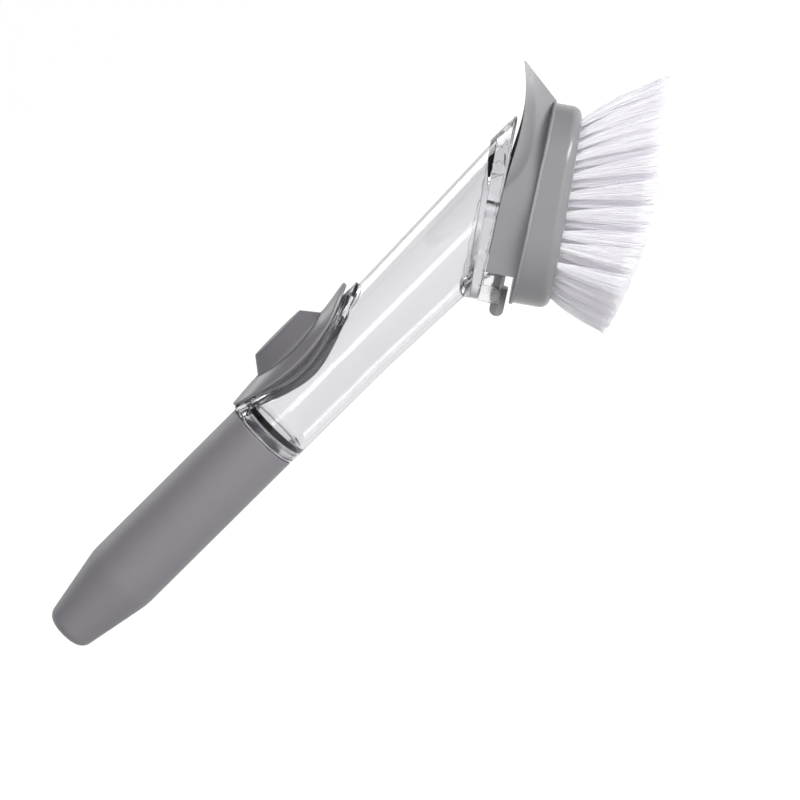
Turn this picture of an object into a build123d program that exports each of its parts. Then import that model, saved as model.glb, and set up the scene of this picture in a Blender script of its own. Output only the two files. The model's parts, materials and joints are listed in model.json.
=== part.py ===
from build123d import *
import os
from math import asin, atan2, ceil, cos, hypot, radians, sin

# A soap-dispensing dish wand lying at rest on its handle's end and its bristle tips.
# The frame is the floor under it: X runs to the head, Z is up, and Y = 0 is the mirror plane.
# Sizes are in millimetres. Places along the tube are measured from the handle's free end,
# and places on the head from the point where the tube's axis crosses the head's flange.

# Handle: a soft sleeve over a hard threaded cup
handle_length = 112.0
handle_radius = 15.0
handle_end_radius = 9.4
handle_end_crown = 2.0
handle_end_corner = 5.0
handle_taper_length = 32.0
handle_shoulder_blend = 26.0
grip_wall = 2.0
grip_rim_rounding = 0.5
core_wall = 1.8
core_floor = 4.0
socket_depth = 15.0
socket_wall = 1.5
thread_clearance = 0.3

# Soap tube, from its threaded neck to the slanted flange at the head
rim_gap = 0.8
collar_length = 3.9
collar_groove_width = 0.7
collar_groove_depth = 0.6
tube_radius = 15.2
tube_head_radius = 17.3
tube_straight_length = 48.0
tube_flare_blend = 160.0
tube_wall = 1.9
neck_wall = 1.8
neck_shoulder = 3.0
seal_thickness = 1.8
seal_clearance = 0.1
plate_along_tube = 230.0
head_angle = 55.0

# Press button and its saddle-shaped seat, centred this far along the tube
button_along_tube = 145.3
seat_length = 72.0
seat_width = 29.2
seat_rise = 1.8
seat_dip = 0.9
seat_dip_length = 12.0
seat_bend = 50.0
recess_length = 61.0
recess_width = 26.4
port_length = 54.0
port_width = 21.0
bezel_length = 64.8
bezel_width = 26.8
bezel_thickness = 1.3
bezel_tip_lift = 1.6
bezel_tip_length = 13.0
bezel_rounding = 0.6
cap_length = 36.0
cap_width = 15.8
cap_top_length = 24.8
cap_top_width = 8.4
cap_height = 7.1
cap_wall = 1.6
cap_lip = 0.8
cap_lip_thickness = 0.75
cap_rounding = 0.7
diaphragm_web = 0.5
running_gap = 0.3
seat_gap = 0.1

# Head plate, its rail for the brush head, and the soap outlet
plate_width = 39.0
plate_bottom = 28.5
plate_top = 33.5
flange_thickness = 2.2
plate_thickness = 3.6
seat_lean = 2.6
seat_pivot = 20.0
plate_rounding = 0.6
outlet_radius = 3.5
outlet_offset = 8.0
rail_height = 8.6
rail_inner_width = 19.2
rail_wall = 1.8
rail_flange_width = 30.8
rail_flange_thickness = 2.2
rail_top = 30.0
rail_bottom = 27.2
rail_flange_bottom = 12.0
window_low = 21.0
window_high = 16.6
window_floor = 0.8
window_rim = 1.5
valve_radius = 6.6
valve_thickness = 1.2
valve_dome_radius = 3.6
valve_dome_height = 3.0
valve_wall = 0.8
valve_slit = 0.25
retainer_wall = 1.3
retainer_thickness = 1.5
retainer_opening = 4.4

# Release latch that pivots between the rail's cheeks, and its leaf spring
latch_tip = 33.0
latch_heel = 22.0
latch_nose = 8.0
latch_nose_length = 2.4
latch_floor = 4.7
latch_thickness = 2.9
latch_width = 8.6
tab_width = 9.2
tab_edge_width = 6.0
tab_thickness = 5.4
tab_rounding = 2.2
pivot_offset = 24.2
pivot_height = 6.3
pivot_radius = 1.2
pivot_clearance = 0.1
hub_radius = 2.0
hub_side_gap = 0.3
leaf_thickness = 0.35
leaf_width = 6.0
leaf_length = 13.0
leaf_crest = 14.0

# Brush holder: a channel with skirts, closed at the far end by a pointed scraper horn
channel_depth = 9.5
skirt_wall = 1.5
skirt_end = 14.0
skirt_width_at_rim = 47.0
skirt_width_at_edge = 41.6
skirt_straight = 12.0
prow_at_rim = 53.0
horn_reach = 71.6
horn_tip = 66.2
horn_height = 2.2
edge_gap = 0.35
edge_rise = 0.3
scoop_rise = 1.5
scoop_start_share = 0.34
scoop_top_share = 0.66
horn_drop_share = 0.4
lip_inner_width = 24.0
lip_thickness = 2.6
lip_top = 24.0
stop_thickness = 1.6
rail_clearance = 0.35
rim_height = 16.8
rim_thickness = 1.2
rim_rounding = 0.4
rim_margin = 0.7
prow_angle = 48.0
horn_angle = 16.0
feed_radius = 4.0
spout_wall = 1.2
spout_length = 4.6
catch_depth = 0.8

# Brush block, its inlay, tufts and anchors
block_length = 79.4
block_near_radius = 28.0
block_far_radius = 22.5
block_offset = 12.3
block_face_height = 27.4
block_edge_rounding = 4.0
inlay_margin = 4.4
inlay_thickness = 2.6
tuft_pitch = 7.35
tuft_row_pitch = 5.2
tuft_margin = 1.5
tuft_radius = 1.35
strand_radius = 0.42
strands_round_tuft = 6
strand_root_depth = 0.4
bristle_height = 34.4
crown_offset = 28.0
crown_radius_far = 278.0
crown_radius_near = 167.0
crown_radius_across = 150.0
fan_share = 0.48
fan_offset = -1.8
tuft_spread_share = 1.5
anchor_width = 2.2
anchor_thickness = 0.45
anchor_height = 1.6
anchor_hole_radius = 1.35
anchor_hole_depth = 2.2

overrun = 5.0
mid_share = 0.5

# Derived sizes that several pieces share
collar_start = handle_length + rim_gap
tube_start = collar_start + collar_length
seat_radius = tube_radius + seat_rise
ledge_radius = tube_radius + seat_gap
plate_face = flange_thickness + plate_thickness
rail_face = plate_face + rail_height
web_face = plate_face + channel_depth
rim_face = plate_face + rim_height
block_face = plate_face + block_face_height
core_radius = handle_radius - grip_wall
socket_radius = core_radius - socket_wall
neck_radius = socket_radius - thread_clearance
neck_bore = neck_radius - neck_wall
cavity_radius = neck_bore + seal_clearance
socket_floor = handle_length - socket_depth
neck_end = socket_floor + seal_thickness + 2 * seal_clearance
block_near_centre = block_offset - block_length / 2 + block_near_radius
block_far_centre = block_offset + block_length / 2 - block_far_radius


# Tufts and strands, as (height off the flange, toward the horn, aside)


def room_in_block(toward_horn, aside, margin):
    """Whether a place lies within the block's outline of two round ends, less a margin."""
    span = block_far_centre - block_near_centre
    share = min(max((toward_horn - block_near_centre) / span, 0.0), 1.0)
    radius = block_near_radius + share * (block_far_radius - block_near_radius) - margin
    return hypot(toward_horn - block_near_centre - share * span, aside) <= radius


def tuft_places():
    """Staggered rows of tufts within the inlay, with the middle left free for the soap outlet."""
    places = []
    rows = ceil(block_near_radius / tuft_row_pitch)
    columns = ceil(block_length / tuft_pitch)
    for row in range(-rows, rows + 1):
        stagger = tuft_pitch / 2 if row % 2 else 0.0
        for column in range(-columns, columns + 1):
            along = outlet_offset + column * tuft_pitch + stagger
            aside = row * tuft_row_pitch
            at_outlet = hypot(along - outlet_offset, aside) < feed_radius
            if room_in_block(along, aside, inlay_margin + tuft_margin) and not at_outlet:
                places.append((along, aside))
    return places


def trimmed(along, aside):
    """A strand's end on the crowned surface that the bristles are trimmed to."""
    from_crown = along - crown_offset
    crown_radius = crown_radius_far if from_crown > 0 else crown_radius_near
    drop = from_crown**2 / (2 * crown_radius) + aside**2 / (2 * crown_radius_across)
    return block_face + bristle_height - drop, along, aside


def strand_ends():
    """Each strand's root and tip. The tufts fan out, and so do the strands of a tuft, so none cross."""
    ends = []
    for along, aside in tuft_places():
        fanned = (along + fan_share * (along - fan_offset), aside * (1 + fan_share))
        for k in range(strands_round_tuft + 1):
            turn = radians(360 * k / strands_round_tuft)
            out = tuft_radius if k < strands_round_tuft else 0.0
            shift_along, shift_aside = out * cos(turn), out * sin(turn)
            root = (block_face - strand_root_depth, along + shift_along, aside + shift_aside)
            spread = 1 + tuft_spread_share
            tip = trimmed(fanned[0] + spread * shift_along, fanned[1] + spread * shift_aside)
            ends.append((root, tip))
    return ends


strands = strand_ends()


# The resting pose: a floor line that touches the handle's end corner and the lowest strand tip


def along_and_up(height, toward_horn):
    """A place on the head, as a distance along the tube and a height above its axis."""
    slant = radians(head_angle)
    along = plate_along_tube + height * cos(slant) + toward_horn * sin(slant)
    return along, toward_horn * cos(slant) - height * sin(slant)


corner_along = handle_end_crown + handle_end_corner
corner_up = handle_end_radius - handle_end_corner
tips = [along_and_up(tip[0], tip[1]) for _, tip in strands]


def floor_lean(tip):
    """The lean of a line under the handle's end corner that ends at a strand tip, in radians."""
    run, rise = tip[0] - corner_along, tip[1] + corner_up
    return atan2(rise, run) + asin(handle_end_corner / hypot(run, rise))


lean = -min(floor_lean(tip) for tip in tips)
end_height = handle_end_corner - corner_along * sin(lean) + corner_up * cos(lean)
back_reach = corner_along * cos(lean) - corner_up * sin(lean) - handle_end_corner
front_reach = max(along * cos(lean) - up * sin(lean) for along, up in tips)

# side: X along the tube, Y up from its axis. head_side: X away from the flange, Y toward the horn.
side = Plane(
    origin=(-(back_reach + front_reach) / 2, 0, end_height),
    x_dir=(cos(lean), 0, sin(lean)),
    z_dir=(0, -1, 0),
)
tube_axis = Axis(side.origin, side.x_dir)
slant = lean - radians(head_angle)
head_side = Plane(
    origin=side.from_local_coords((plate_along_tube, 0, 0)),
    x_dir=(cos(slant), 0, sin(slant)),
    z_dir=(0, -1, 0),
)


def deck(height):
    """A plane square to the bristles, with X toward the horn and Y aside."""
    origin = head_side.from_local_coords((height, 0, 0))
    return Plane(origin=origin, x_dir=head_side.y_dir, z_dir=head_side.x_dir)


# The plate's front leans a little to the flange, with the rail and the holder on it. seat_side keeps
# head_side's sizes there, and meets it at the plate's front near the latch.
seat_turn = radians(seat_lean)
seat_normal = head_side.x_dir * cos(seat_turn) - head_side.y_dir * sin(seat_turn)
seat_rise_dir = head_side.y_dir * cos(seat_turn) + head_side.x_dir * sin(seat_turn)
seat_corner = head_side.from_local_coords((plate_face, -seat_pivot, 0))
seat_side = Plane(
    origin=seat_corner - seat_normal * plate_face + seat_rise_dir * seat_pivot,
    x_dir=seat_normal,
    z_dir=(0, -1, 0),
)


def seat(height):
    """A plane parallel to the plate's front, with X toward the horn and Y aside."""
    origin = seat_side.from_local_coords((height, 0, 0))
    return Plane(origin=origin, x_dir=seat_side.y_dir, z_dir=seat_side.x_dir)


def rim(height):
    """A plane along the seam of holder and block, parallel to the plate's front."""
    corner = head_side.from_local_coords((rim_face, prow_at_rim, 0))
    return Plane(origin=corner + seat_side.x_dir * height, x_dir=seat_side.y_dir, z_dir=seat_side.x_dir)


def press(up):
    """A plane square to the button's stroke, centred on the button, with X along the tube."""
    origin = side.from_local_coords((button_along_tube, up, 0))
    return Plane(origin=origin, x_dir=side.x_dir, z_dir=side.y_dir)


# Handle


def handle_half(inset):
    """Half of the handle's lengthwise section, set in by a wall."""
    corner = (handle_end_crown + inset, handle_end_radius - inset)
    crown_middle = (inset + handle_end_crown / 4, corner[1] / 2)
    with BuildSketch(side) as half:
        with BuildLine():
            ThreePointArc((inset, 0), crown_middle, corner)
            Polyline(
                corner,
                (handle_taper_length, handle_radius - inset),
                (handle_length, handle_radius - inset),
                (handle_length, 0),
                (inset, 0),
            )
        make_face()
        shoulder = [v for v in half.vertices() if abs(v.X - handle_taper_length) < seat_gap]
        fillet(shoulder, radius=handle_shoulder_blend)
        end_corner = [v for v in half.vertices() if abs(v.X - corner[0]) < seat_gap]
        fillet(end_corner, radius=handle_end_corner)
    return half.sketch


with BuildPart() as handle_grip:
    revolve(handle_half(0.0), axis=tube_axis)
    rims = handle_grip.edges().filter_by(GeomType.CIRCLE)
    at_rim = [e for e in rims if abs(side.to_local_coords(e.center()).X - handle_length) < seat_gap]
    fillet(at_rim, radius=grip_rim_rounding)
    revolve(handle_half(grip_wall), axis=tube_axis, mode=Mode.SUBTRACT)

with BuildPart() as handle_core:
    revolve(handle_half(grip_wall), axis=tube_axis)
    with BuildSketch(side):
        cavity_end = (grip_wall + core_floor, handle_end_radius - grip_wall - core_wall)
        with BuildLine():
            Polyline(
                (cavity_end[0], 0),
                cavity_end,
                (handle_taper_length, cavity_radius),
                (socket_floor, cavity_radius),
                (socket_floor, socket_radius),
                (handle_length, socket_radius),
                (handle_length, 0),
                close=True,
            )
        make_face()
    revolve(axis=tube_axis, mode=Mode.SUBTRACT)

with BuildPart() as neck_seal:
    with BuildSketch(side):
        ring_radius = (cavity_radius + socket_radius) / 2
        with Locations((socket_floor + seal_clearance + seal_thickness / 2, ring_radius)):
            Circle(seal_thickness / 2)
    revolve(axis=tube_axis)


# Soap tube


def level_line(radius):
    """A steady radius along the whole of the button's seat."""
    return [(collar_start, radius), (button_along_tube + seat_length, radius)]


def seat_line(radius, tip_lift=0.0):
    """A radius that dips at the collar and, under the bezel, may lift at the tip."""
    tip = button_along_tube + bezel_length / 2
    return [
        (collar_start, radius - seat_dip),
        (collar_start + seat_dip_length, radius),
        (tip - bezel_tip_length, radius),
        (tip, radius + tip_lift),
        (button_along_tube + seat_length, radius + tip_lift),
    ]


def saddle(inner, outer):
    """The half section, above the tube's axis, between two lines of radii."""
    with BuildSketch(side) as half:
        with BuildLine():
            Polyline(*inner, *reversed(outer), close=True)
        make_face()
        ends = (inner[0][0] + seat_gap, inner[-1][0] - seat_gap)
        bends = [v for v in half.vertices() if ends[0] < v.X < ends[1]]
        if bends:
            fillet(bends, radius=seat_bend)
    return half.sketch


def oval(length, width):
    """An oval across the button's stroke, at the height of the tube's axis."""
    with BuildSketch(press(0)) as plan:
        Ellipse(length / 2, width / 2)
    return plan.sketch


column_height = seat_radius + cap_height + overrun


def tube_half(inset, start, neck_reach, neck_line):
    """Half section of the neck and of the barrel, which flares to the head, set in by a wall."""
    flare_start = tube_start + tube_straight_length
    far = plate_along_tube + plate_top
    flare_share = (tube_head_radius - tube_radius) / (plate_along_tube - flare_start)
    far_radius = tube_radius + flare_share * (far - flare_start) - inset
    barrel = tube_radius - inset
    with BuildSketch(side) as half:
        with BuildLine():
            Polyline(
                (start, 0),
                (start, neck_reach),
                *neck_line,
                (flare_start, barrel),
                (far, far_radius),
                (far, 0),
                close=True,
            )
        make_face()
        bend = [v for v in half.vertices() if abs(v.X - flare_start) < seat_gap]
        fillet(bend, radius=tube_flare_blend)
    return half.sketch


with BuildPart() as seat_turret:
    revolve(saddle(level_line(tube_radius - tube_wall / 2), seat_line(seat_radius)), axis=tube_axis)
    extrude(oval(seat_length, seat_width), amount=column_height, mode=Mode.INTERSECT)

with BuildPart() as seat_recess:
    revolve(saddle(level_line(ledge_radius), level_line(seat_radius + overrun)), axis=tube_axis)
    extrude(oval(recess_length, recess_width), amount=column_height, mode=Mode.INTERSECT)

def plate_plan(plane, height):
    """The flange's and plate's round-ended plan, whose top end runs on along the tube."""
    top = plate_top + height / cos(radians(head_angle)) * sin(radians(head_angle))
    with BuildSketch(plane) as plan:
        with Locations(((top - plate_bottom) / 2, 0)):
            SlotOverall(top + plate_bottom, plate_width)
    return plan.sketch


with BuildPart() as soap_tube:
    groove_start = tube_start - collar_groove_width
    groove_radius = handle_radius - collar_groove_depth
    outside = [
        (collar_start, neck_radius),
        (collar_start, handle_radius),
        (groove_start, handle_radius),
        (groove_start, groove_radius),
        (tube_start, groove_radius),
        (tube_start, tube_radius),
    ]
    revolve(tube_half(0.0, neck_end, neck_radius, outside), axis=tube_axis)
    split(bisect_by=deck(0), keep=Keep.BOTTOM)
    loft([plate_plan(deck(0), 0), plate_plan(deck(flange_thickness), flange_thickness)], ruled=True)
    add(seat_turret.part)
    inside = [(tube_start, neck_bore), (tube_start + neck_shoulder, tube_radius - tube_wall)]
    revolve(
        tube_half(tube_wall, neck_end - overrun, neck_bore, inside),
        axis=tube_axis,
        mode=Mode.SUBTRACT,
    )
    add(seat_recess.part, mode=Mode.SUBTRACT)
    extrude(oval(port_length, port_width), amount=column_height, mode=Mode.SUBTRACT)


# Press button

diaphragm_underside = ledge_radius + seat_gap / 2
pocket_margin = 2 * (cap_lip + running_gap)

with BuildPart() as diaphragm_pocket:
    pocket_floor = level_line(diaphragm_underside + diaphragm_web)
    revolve(saddle(pocket_floor, level_line(seat_radius + overrun)), axis=tube_axis)
    pocket_plan = oval(cap_length + pocket_margin, cap_width + pocket_margin)
    extrude(pocket_plan, amount=column_height, mode=Mode.INTERSECT)

with BuildPart() as pump_diaphragm:
    revolve(saddle(level_line(diaphragm_underside), seat_line(seat_radius - seat_gap)), axis=tube_axis)
    diaphragm_plan = oval(recess_length - 2 * seat_gap, recess_width - 2 * seat_gap)
    extrude(diaphragm_plan, amount=column_height, mode=Mode.INTERSECT)
    add(diaphragm_pocket.part, mode=Mode.SUBTRACT)

bezel_underside = seat_radius + seat_gap / 2
bezel_top = bezel_underside + bezel_thickness

with BuildPart() as button_bezel:
    underside = seat_line(bezel_underside, bezel_tip_lift)
    revolve(saddle(underside, seat_line(bezel_top, bezel_tip_lift + bezel_thickness / 2)), axis=tube_axis)
    extrude(oval(bezel_length, bezel_width), amount=column_height, mode=Mode.INTERSECT)
    rims = []
    for edge in button_bezel.edges():
        middle = side.to_local_coords(edge.position_at(mid_share))
        out = hypot((middle.X - button_along_tube) / bezel_length, middle.Z / bezel_width)
        if out > (1 - seat_gap) / 2 and hypot(middle.Y, middle.Z) > bezel_underside + bezel_thickness / 2:
            rims.append(edge)
    fillet(ShapeList(rims).filter_by(lambda e: e.length > bezel_thickness * 2), radius=bezel_rounding)
    opening = oval(cap_length + 2 * running_gap, cap_width + 2 * running_gap)
    extrude(opening, amount=column_height, mode=Mode.SUBTRACT)

lip_top_radius = bezel_underside - running_gap
lip_radius = lip_top_radius - cap_lip_thickness

with BuildPart() as cap_lip_ring:
    revolve(saddle(level_line(lip_radius), level_line(lip_top_radius)), axis=tube_axis)
    lip_plan = oval(cap_length + 2 * cap_lip, cap_width + 2 * cap_lip)
    extrude(lip_plan, amount=column_height, mode=Mode.INTERSECT)

cap_shoulder = bezel_underside + bezel_thickness / 2
cap_top = cap_shoulder + cap_height


def cap_plan(height, length, width):
    """The cap's oval at one height."""
    with BuildSketch(press(height)) as plan:
        Ellipse(length / 2, width / 2)
    return plan.sketch


with BuildPart() as button_cap:
    extrude(cap_plan(0, cap_length, cap_width), amount=cap_shoulder)
    revolve(saddle(level_line(0), level_line(lip_radius)), axis=tube_axis, mode=Mode.SUBTRACT)
    shoulder_plan = cap_plan(cap_shoulder, cap_length, cap_width)
    loft([shoulder_plan, cap_plan(cap_top, cap_top_length, cap_top_width)])
    crown_edge = button_cap.edges().group_by(Axis(side.origin, side.y_dir))[-1]
    fillet(crown_edge, radius=cap_rounding)
    add(cap_lip_ring.part)
    hollow_length, hollow_width = cap_length - 2 * cap_wall, cap_width - 2 * cap_wall
    extrude(cap_plan(0, hollow_length, hollow_width), amount=cap_shoulder, mode=Mode.SUBTRACT)
    hollow_top = cap_plan(cap_top - cap_wall, cap_top_length - 2 * cap_wall, cap_top_width - 2 * cap_wall)
    loft([cap_plan(cap_shoulder, hollow_length, hollow_width), hollow_top], mode=Mode.SUBTRACT)


# Head plate with its rail, and the outlet valve

with BuildPart() as head_plate:
    front_height = plate_face + (plate_top + plate_bottom) * sin(seat_turn)
    plans = [plate_plan(deck(flange_thickness), flange_thickness), plate_plan(seat(plate_face), front_height)]
    loft(plans, ruled=True)
    front_edges = head_plate.edges().group_by(Axis(seat_side.origin, seat_side.x_dir))[-1]
    fillet(front_edges, radius=plate_rounding)
    with BuildSketch(seat(plate_face)):
        cheek_middle = (rail_inner_width + rail_wall) / 2
        with Locations(
            ((rail_top - rail_bottom) / 2, cheek_middle),
            ((rail_top - rail_bottom) / 2, -cheek_middle),
        ):
            Rectangle(rail_top + rail_bottom, rail_wall)
    extrude(amount=rail_height)
    with BuildSketch(seat(rail_face - rail_flange_thickness)):
        flange_reach = (rail_flange_width - rail_inner_width) / 2
        flange_middle = (rail_flange_width + rail_inner_width) / 4
        with Locations(
            ((rail_top - rail_flange_bottom) / 2, flange_middle),
            ((rail_top - rail_flange_bottom) / 2, -flange_middle),
        ):
            Rectangle(rail_top + rail_flange_bottom, flange_reach)
    extrude(amount=rail_flange_thickness)
    with BuildSketch(seat_side):
        window_height = rail_height - window_floor - window_rim
        with Locations((plate_face + window_floor + window_height / 2, -(window_low + window_high) / 2)):
            Rectangle(window_height, window_low - window_high)
    extrude(amount=plate_width, both=True, mode=Mode.SUBTRACT)
    with BuildSketch(seat_side):
        with Locations((plate_face + pivot_height, -pivot_offset)):
            Circle(pivot_radius + pivot_clearance)
    extrude(amount=plate_width, both=True, mode=Mode.SUBTRACT)
    with BuildSketch(seat(plate_face)):
        with Locations((outlet_offset, 0)):
            Circle(outlet_radius)
    extrude(amount=-plate_face, mode=Mode.SUBTRACT)

outlet_axis = Axis(seat_side.from_local_coords((0, outlet_offset, 0)), seat_side.x_dir)
valve_face = plate_face + valve_thickness

with BuildPart() as outlet_valve:
    with BuildSketch(seat_side):
        with BuildLine():
            dome_start = (valve_face, outlet_offset + valve_dome_radius)
            dome_end = (valve_face + valve_dome_height, outlet_offset)
            Polyline(
                (plate_face, outlet_offset),
                (plate_face, outlet_offset + valve_radius),
                (valve_face, outlet_offset + valve_radius),
                dome_start,
            )
            EllipticalCenterArc((valve_face, outlet_offset), valve_dome_height, valve_dome_radius)
            Line(dome_end, (plate_face, outlet_offset))
        make_face()
    revolve(axis=outlet_axis)
    with BuildSketch(seat_side):
        bore = valve_dome_radius - valve_wall
        with BuildLine():
            Polyline(
                (valve_face, outlet_offset),
                (plate_face, outlet_offset),
                (plate_face, outlet_offset + bore),
                (valve_face, outlet_offset + bore),
            )
            EllipticalCenterArc((valve_face, outlet_offset), valve_dome_height - valve_wall, bore)
            Line((valve_face + valve_dome_height - valve_wall, outlet_offset), (valve_face, outlet_offset))
        make_face()
    revolve(axis=outlet_axis, mode=Mode.SUBTRACT)
    with BuildSketch(seat(valve_face + valve_dome_height)):
        with Locations((outlet_offset, 0)):
            Rectangle(valve_slit, valve_dome_radius)
    extrude(amount=-2 * valve_wall, mode=Mode.SUBTRACT)

with BuildPart() as valve_retainer:
    with BuildSketch(seat_side):
        seat_edge = outlet_offset + valve_radius + seat_gap
        with BuildLine():
            Polyline(
                (plate_face, seat_edge),
                (plate_face, seat_edge + retainer_wall),
                (valve_face + retainer_thickness, seat_edge + retainer_wall),
                (valve_face + retainer_thickness, outlet_offset + retainer_opening),
                (valve_face, outlet_offset + retainer_opening),
                (valve_face, seat_edge),
                close=True,
            )
        make_face()
    revolve(axis=outlet_axis)


# Release latch and its leaf spring

pivot_place = (plate_face + pivot_height, -pivot_offset)
latch_underside = plate_face + latch_floor
tab_middle = plate_face + pivot_height + tab_thickness / 3

with BuildPart() as release_latch:
    with BuildSketch(seat_side):
        with BuildLine():
            latch_top = latch_underside + latch_thickness
            nose_top = web_face - running_gap
            Polyline(
                (latch_underside, -latch_heel - tab_thickness),
                (latch_top, -latch_heel - tab_thickness),
                (latch_top, -latch_nose - 2 * latch_nose_length),
                (nose_top, -latch_nose - latch_nose_length),
                (nose_top, -latch_nose),
                (latch_underside, -latch_nose),
                close=True,
            )
        make_face()
    extrude(amount=latch_width / 2, both=True)
    tab_plane = Plane(
        origin=seat_side.from_local_coords((tab_middle, -latch_tip, 0)),
        x_dir=seat_side.x_dir,
        z_dir=seat_side.y_dir,
    )
    with BuildSketch(tab_plane):
        with BuildLine():
            Polyline(
                (-tab_thickness / 2, -tab_edge_width / 2),
                (0, -tab_width / 2),
                (tab_thickness / 2, -tab_edge_width / 2),
                (tab_thickness / 2, tab_edge_width / 2),
                (0, tab_width / 2),
                (-tab_thickness / 2, tab_edge_width / 2),
                close=True,
            )
        make_face()
    extrude(amount=latch_tip - latch_heel)
    tip_edges = release_latch.edges().group_by(Axis(seat_side.origin, seat_side.y_dir))[0]
    fillet(tip_edges.filter_by(Axis.Y), radius=tab_rounding)
    with BuildSketch(seat_side):
        with Locations(pivot_place):
            Circle(hub_radius)
    extrude(amount=rail_inner_width / 2 - hub_side_gap, both=True)
    with BuildSketch(seat_side):
        with Locations(pivot_place):
            Circle(pivot_radius)
    extrude(amount=rail_inner_width / 2 + rail_wall - hub_side_gap, both=True)

with BuildPart() as latch_spring:
    with BuildSketch(seat_side):
        crest = latch_underside - seat_gap
        foot = plate_face + seat_gap
        half_leaf = leaf_length / 2
        with BuildLine():
            top_arc = [(foot, -leaf_crest - half_leaf), (crest, -leaf_crest), (foot, half_leaf - leaf_crest)]
            ThreePointArc(*top_arc)
            Line((foot, half_leaf - leaf_crest), (foot, half_leaf - leaf_crest - leaf_thickness))
            ThreePointArc(
                (foot, half_leaf - leaf_crest - leaf_thickness),
                (crest - leaf_thickness, -leaf_crest),
                (foot, leaf_thickness - leaf_crest - half_leaf),
            )
            Line((foot, leaf_thickness - leaf_crest - half_leaf), (foot, -leaf_crest - half_leaf))
        make_face()
    extrude(amount=leaf_width / 2, both=True)


# Brush holder


def block_outline(plane, margin, with_prow=False):
    """The block's plan: a round big end and a round small end, with the holder's point if asked."""
    with BuildSketch(plane) as plan:
        shift = prow_at_rim if with_prow else 0.0
        with Locations((block_near_centre - shift, 0)):
            Circle(block_near_radius - margin)
        with Locations((block_far_centre - shift, 0)):
            Circle(block_far_radius - margin)
        if with_prow:
            with Locations((-rim_thickness, 0)):
                Circle(rim_thickness)
        make_hull()
    return plan.sketch


turn_at_rim = radians(prow_angle)
turn_at_horn = radians(horn_angle)


def shield(plane, half_width, reach, shift, tip_turn):
    """The skirts' plan at one level: open-ended at the handle side and drawn to a point at the horn."""
    start = (-skirt_end - shift, half_width)
    bend = (skirt_straight - shift, half_width)
    tip = (reach - shift, 0)
    with BuildSketch(plane) as plan:
        with BuildLine():
            Line((start[0], -half_width), start)
            Line(start, bend)
            Spline(bend, tip, tangents=[(1, 0), (cos(tip_turn), -sin(tip_turn))])
            Spline(tip, (bend[0], -half_width), tangents=[(-cos(tip_turn), -sin(tip_turn)), (-1, 0)])
            Line((bend[0], -half_width), (start[0], -half_width))
        make_face()
    return plan.sketch


def skirt_plans(inset):
    """The skirts' plans at the rim and below their free edge, set in by a wall."""
    at_rim = shield(rim(0), skirt_width_at_rim / 2 - inset, prow_at_rim - 2 * inset, prow_at_rim, turn_at_rim)
    half_width, reach = skirt_width_at_edge / 2 - inset, horn_reach - 2 * inset
    return [at_rim, shield(deck(flange_thickness), half_width, reach, 0, turn_at_horn)]


with BuildPart() as channel:
    loft(skirt_plans(skirt_wall))
    with BuildSketch(seat(web_face)):
        Rectangle(3 * block_length, 3 * skirt_width_at_rim)
    extrude(amount=rim_height, mode=Mode.SUBTRACT)
    with BuildSketch(seat(0)):
        with Locations((-skirt_end, 0)):
            Rectangle(overrun, skirt_width_at_edge - 2 * skirt_wall)
    extrude(amount=web_face)

with BuildPart() as rail_lips:
    loft(skirt_plans(skirt_wall / 2))
    with BuildSketch(seat(rail_face - rail_flange_thickness - rail_clearance)):
        lip_reach = (skirt_width_at_rim - lip_inner_width) / 2
        lip_middle = (skirt_width_at_rim + lip_inner_width) / 4
        with Locations(
            ((lip_top - skirt_end) / 2, lip_middle),
            ((lip_top - skirt_end) / 2, -lip_middle),
        ):
            Rectangle(lip_top + skirt_end, lip_reach)
    extrude(amount=-lip_thickness, mode=Mode.INTERSECT)

with BuildPart() as rim_flange:
    extrude(block_outline(rim(0), -rim_margin, with_prow=True), amount=-rim_thickness)
    front_edges = rim_flange.edges().group_by(Axis(seat_side.origin, seat_side.x_dir))[-1]
    fillet(front_edges, radius=rim_rounding)

with BuildPart() as brush_holder:
    loft(skirt_plans(0.0))
    add(channel.part, mode=Mode.SUBTRACT)
    add(rail_lips.part)
    with BuildSketch(seat(web_face)):
        with Locations((rail_top + rail_clearance + stop_thickness / 2, 0)):
            Rectangle(stop_thickness, rail_flange_width)
    extrude(amount=-rail_flange_thickness - rail_clearance - lip_thickness)
    add(rim_flange.part)
    with BuildSketch(seat_side):
        edge = plate_face + edge_gap
        scoop_start = (edge + edge_rise, horn_reach * scoop_start_share)
        scoop_top = (edge + scoop_rise, horn_reach * scoop_top_share)
        with BuildLine():
            Line((edge, -skirt_end - overrun), (edge, -skirt_end))
            Spline(
                (edge, -skirt_end),
                scoop_start,
                scoop_top,
                (plate_face - horn_height, horn_tip),
                tangents=[(0, 1), (-horn_drop_share, 1)],
            )
            Polyline(
                (plate_face - horn_height, horn_tip),
                (rim_face, horn_tip),
                (rim_face, horn_reach + overrun),
                (-overrun, horn_reach + overrun),
                (-overrun, -skirt_end - overrun),
                (edge, -skirt_end - overrun),
            )
        make_face()
    extrude(amount=skirt_width_at_rim, both=True, mode=Mode.SUBTRACT)
    with BuildSketch(seat(web_face)):
        with Locations((outlet_offset, 0)):
            Circle(feed_radius + spout_wall)
    extrude(amount=-spout_length)
    with BuildSketch(seat(plate_face)):
        with Locations((outlet_offset, 0)):
            Circle(feed_radius)
    extrude(amount=rim_height + overrun, mode=Mode.SUBTRACT)
    with BuildSketch(seat(web_face)):
        with Locations((-latch_nose - latch_nose_length / 2, 0)):
            Rectangle(latch_nose_length + 2 * running_gap, latch_width + 2 * running_gap)
    extrude(amount=catch_depth, mode=Mode.SUBTRACT)


# Brush block, anchors and bristles

places = tuft_places()

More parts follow.
